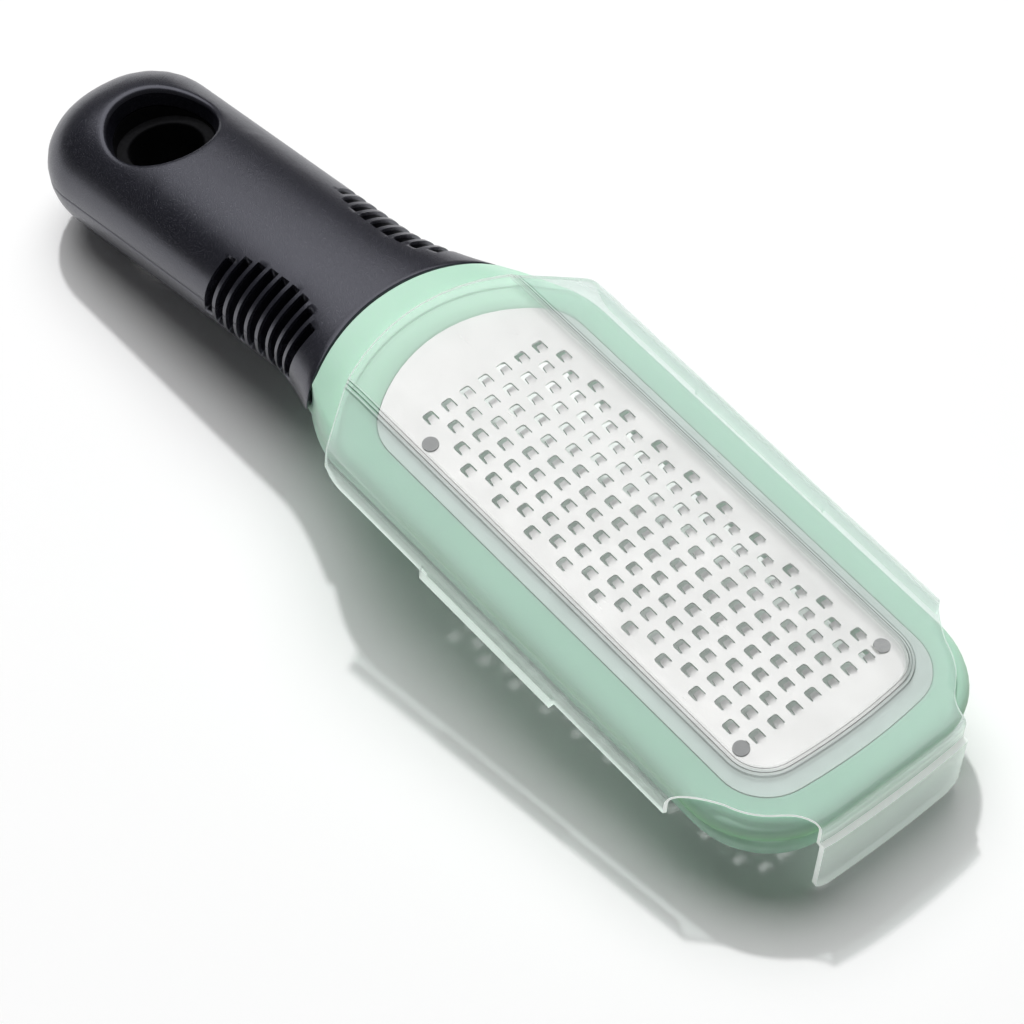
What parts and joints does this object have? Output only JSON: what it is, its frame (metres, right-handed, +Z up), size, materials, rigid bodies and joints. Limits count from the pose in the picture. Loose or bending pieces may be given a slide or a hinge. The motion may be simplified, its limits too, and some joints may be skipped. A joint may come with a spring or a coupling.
{
  "type": "ginger grater",
  "caption": "Hand-held ginger grater: crowned etched steel plate in a moulded head, drooped soft grip with fins and a hang hole, and a translucent clip-over cover with a pull tab.",
  "frame": {"origin": "centre of the bounding box on the surface that the grater lies on, face up, on the butt of its handle and the cover's pull tab", "axes": "+X from the butt of the handle to the tip of the head, +Z up, +Y across"},
  "size_m": [0.2124, 0.062, 0.0342],
  "materials": {
    "steel": "satin",
    "green_plastic": "satin",
    "black_plastic": "satin",
    "charcoal_rubber": "matte, fine grain",
    "milky_plastic": "translucent"
  },
  "bodies": {
    "grater": {"grating_plate": "steel", "head_frame": "green_plastic", "handle_core": "black_plastic", "soft_grip": "charcoal_rubber"},
    "cover": {"snap_cover": "milky_plastic"}
  },
  "joints": [
    {"name": "cover_lift", "type": "slide", "parent": "grater", "child": "cover", "axis": [0.1269, 0, 0.9919], "range_m": [0, 0.045]}
  ]
}
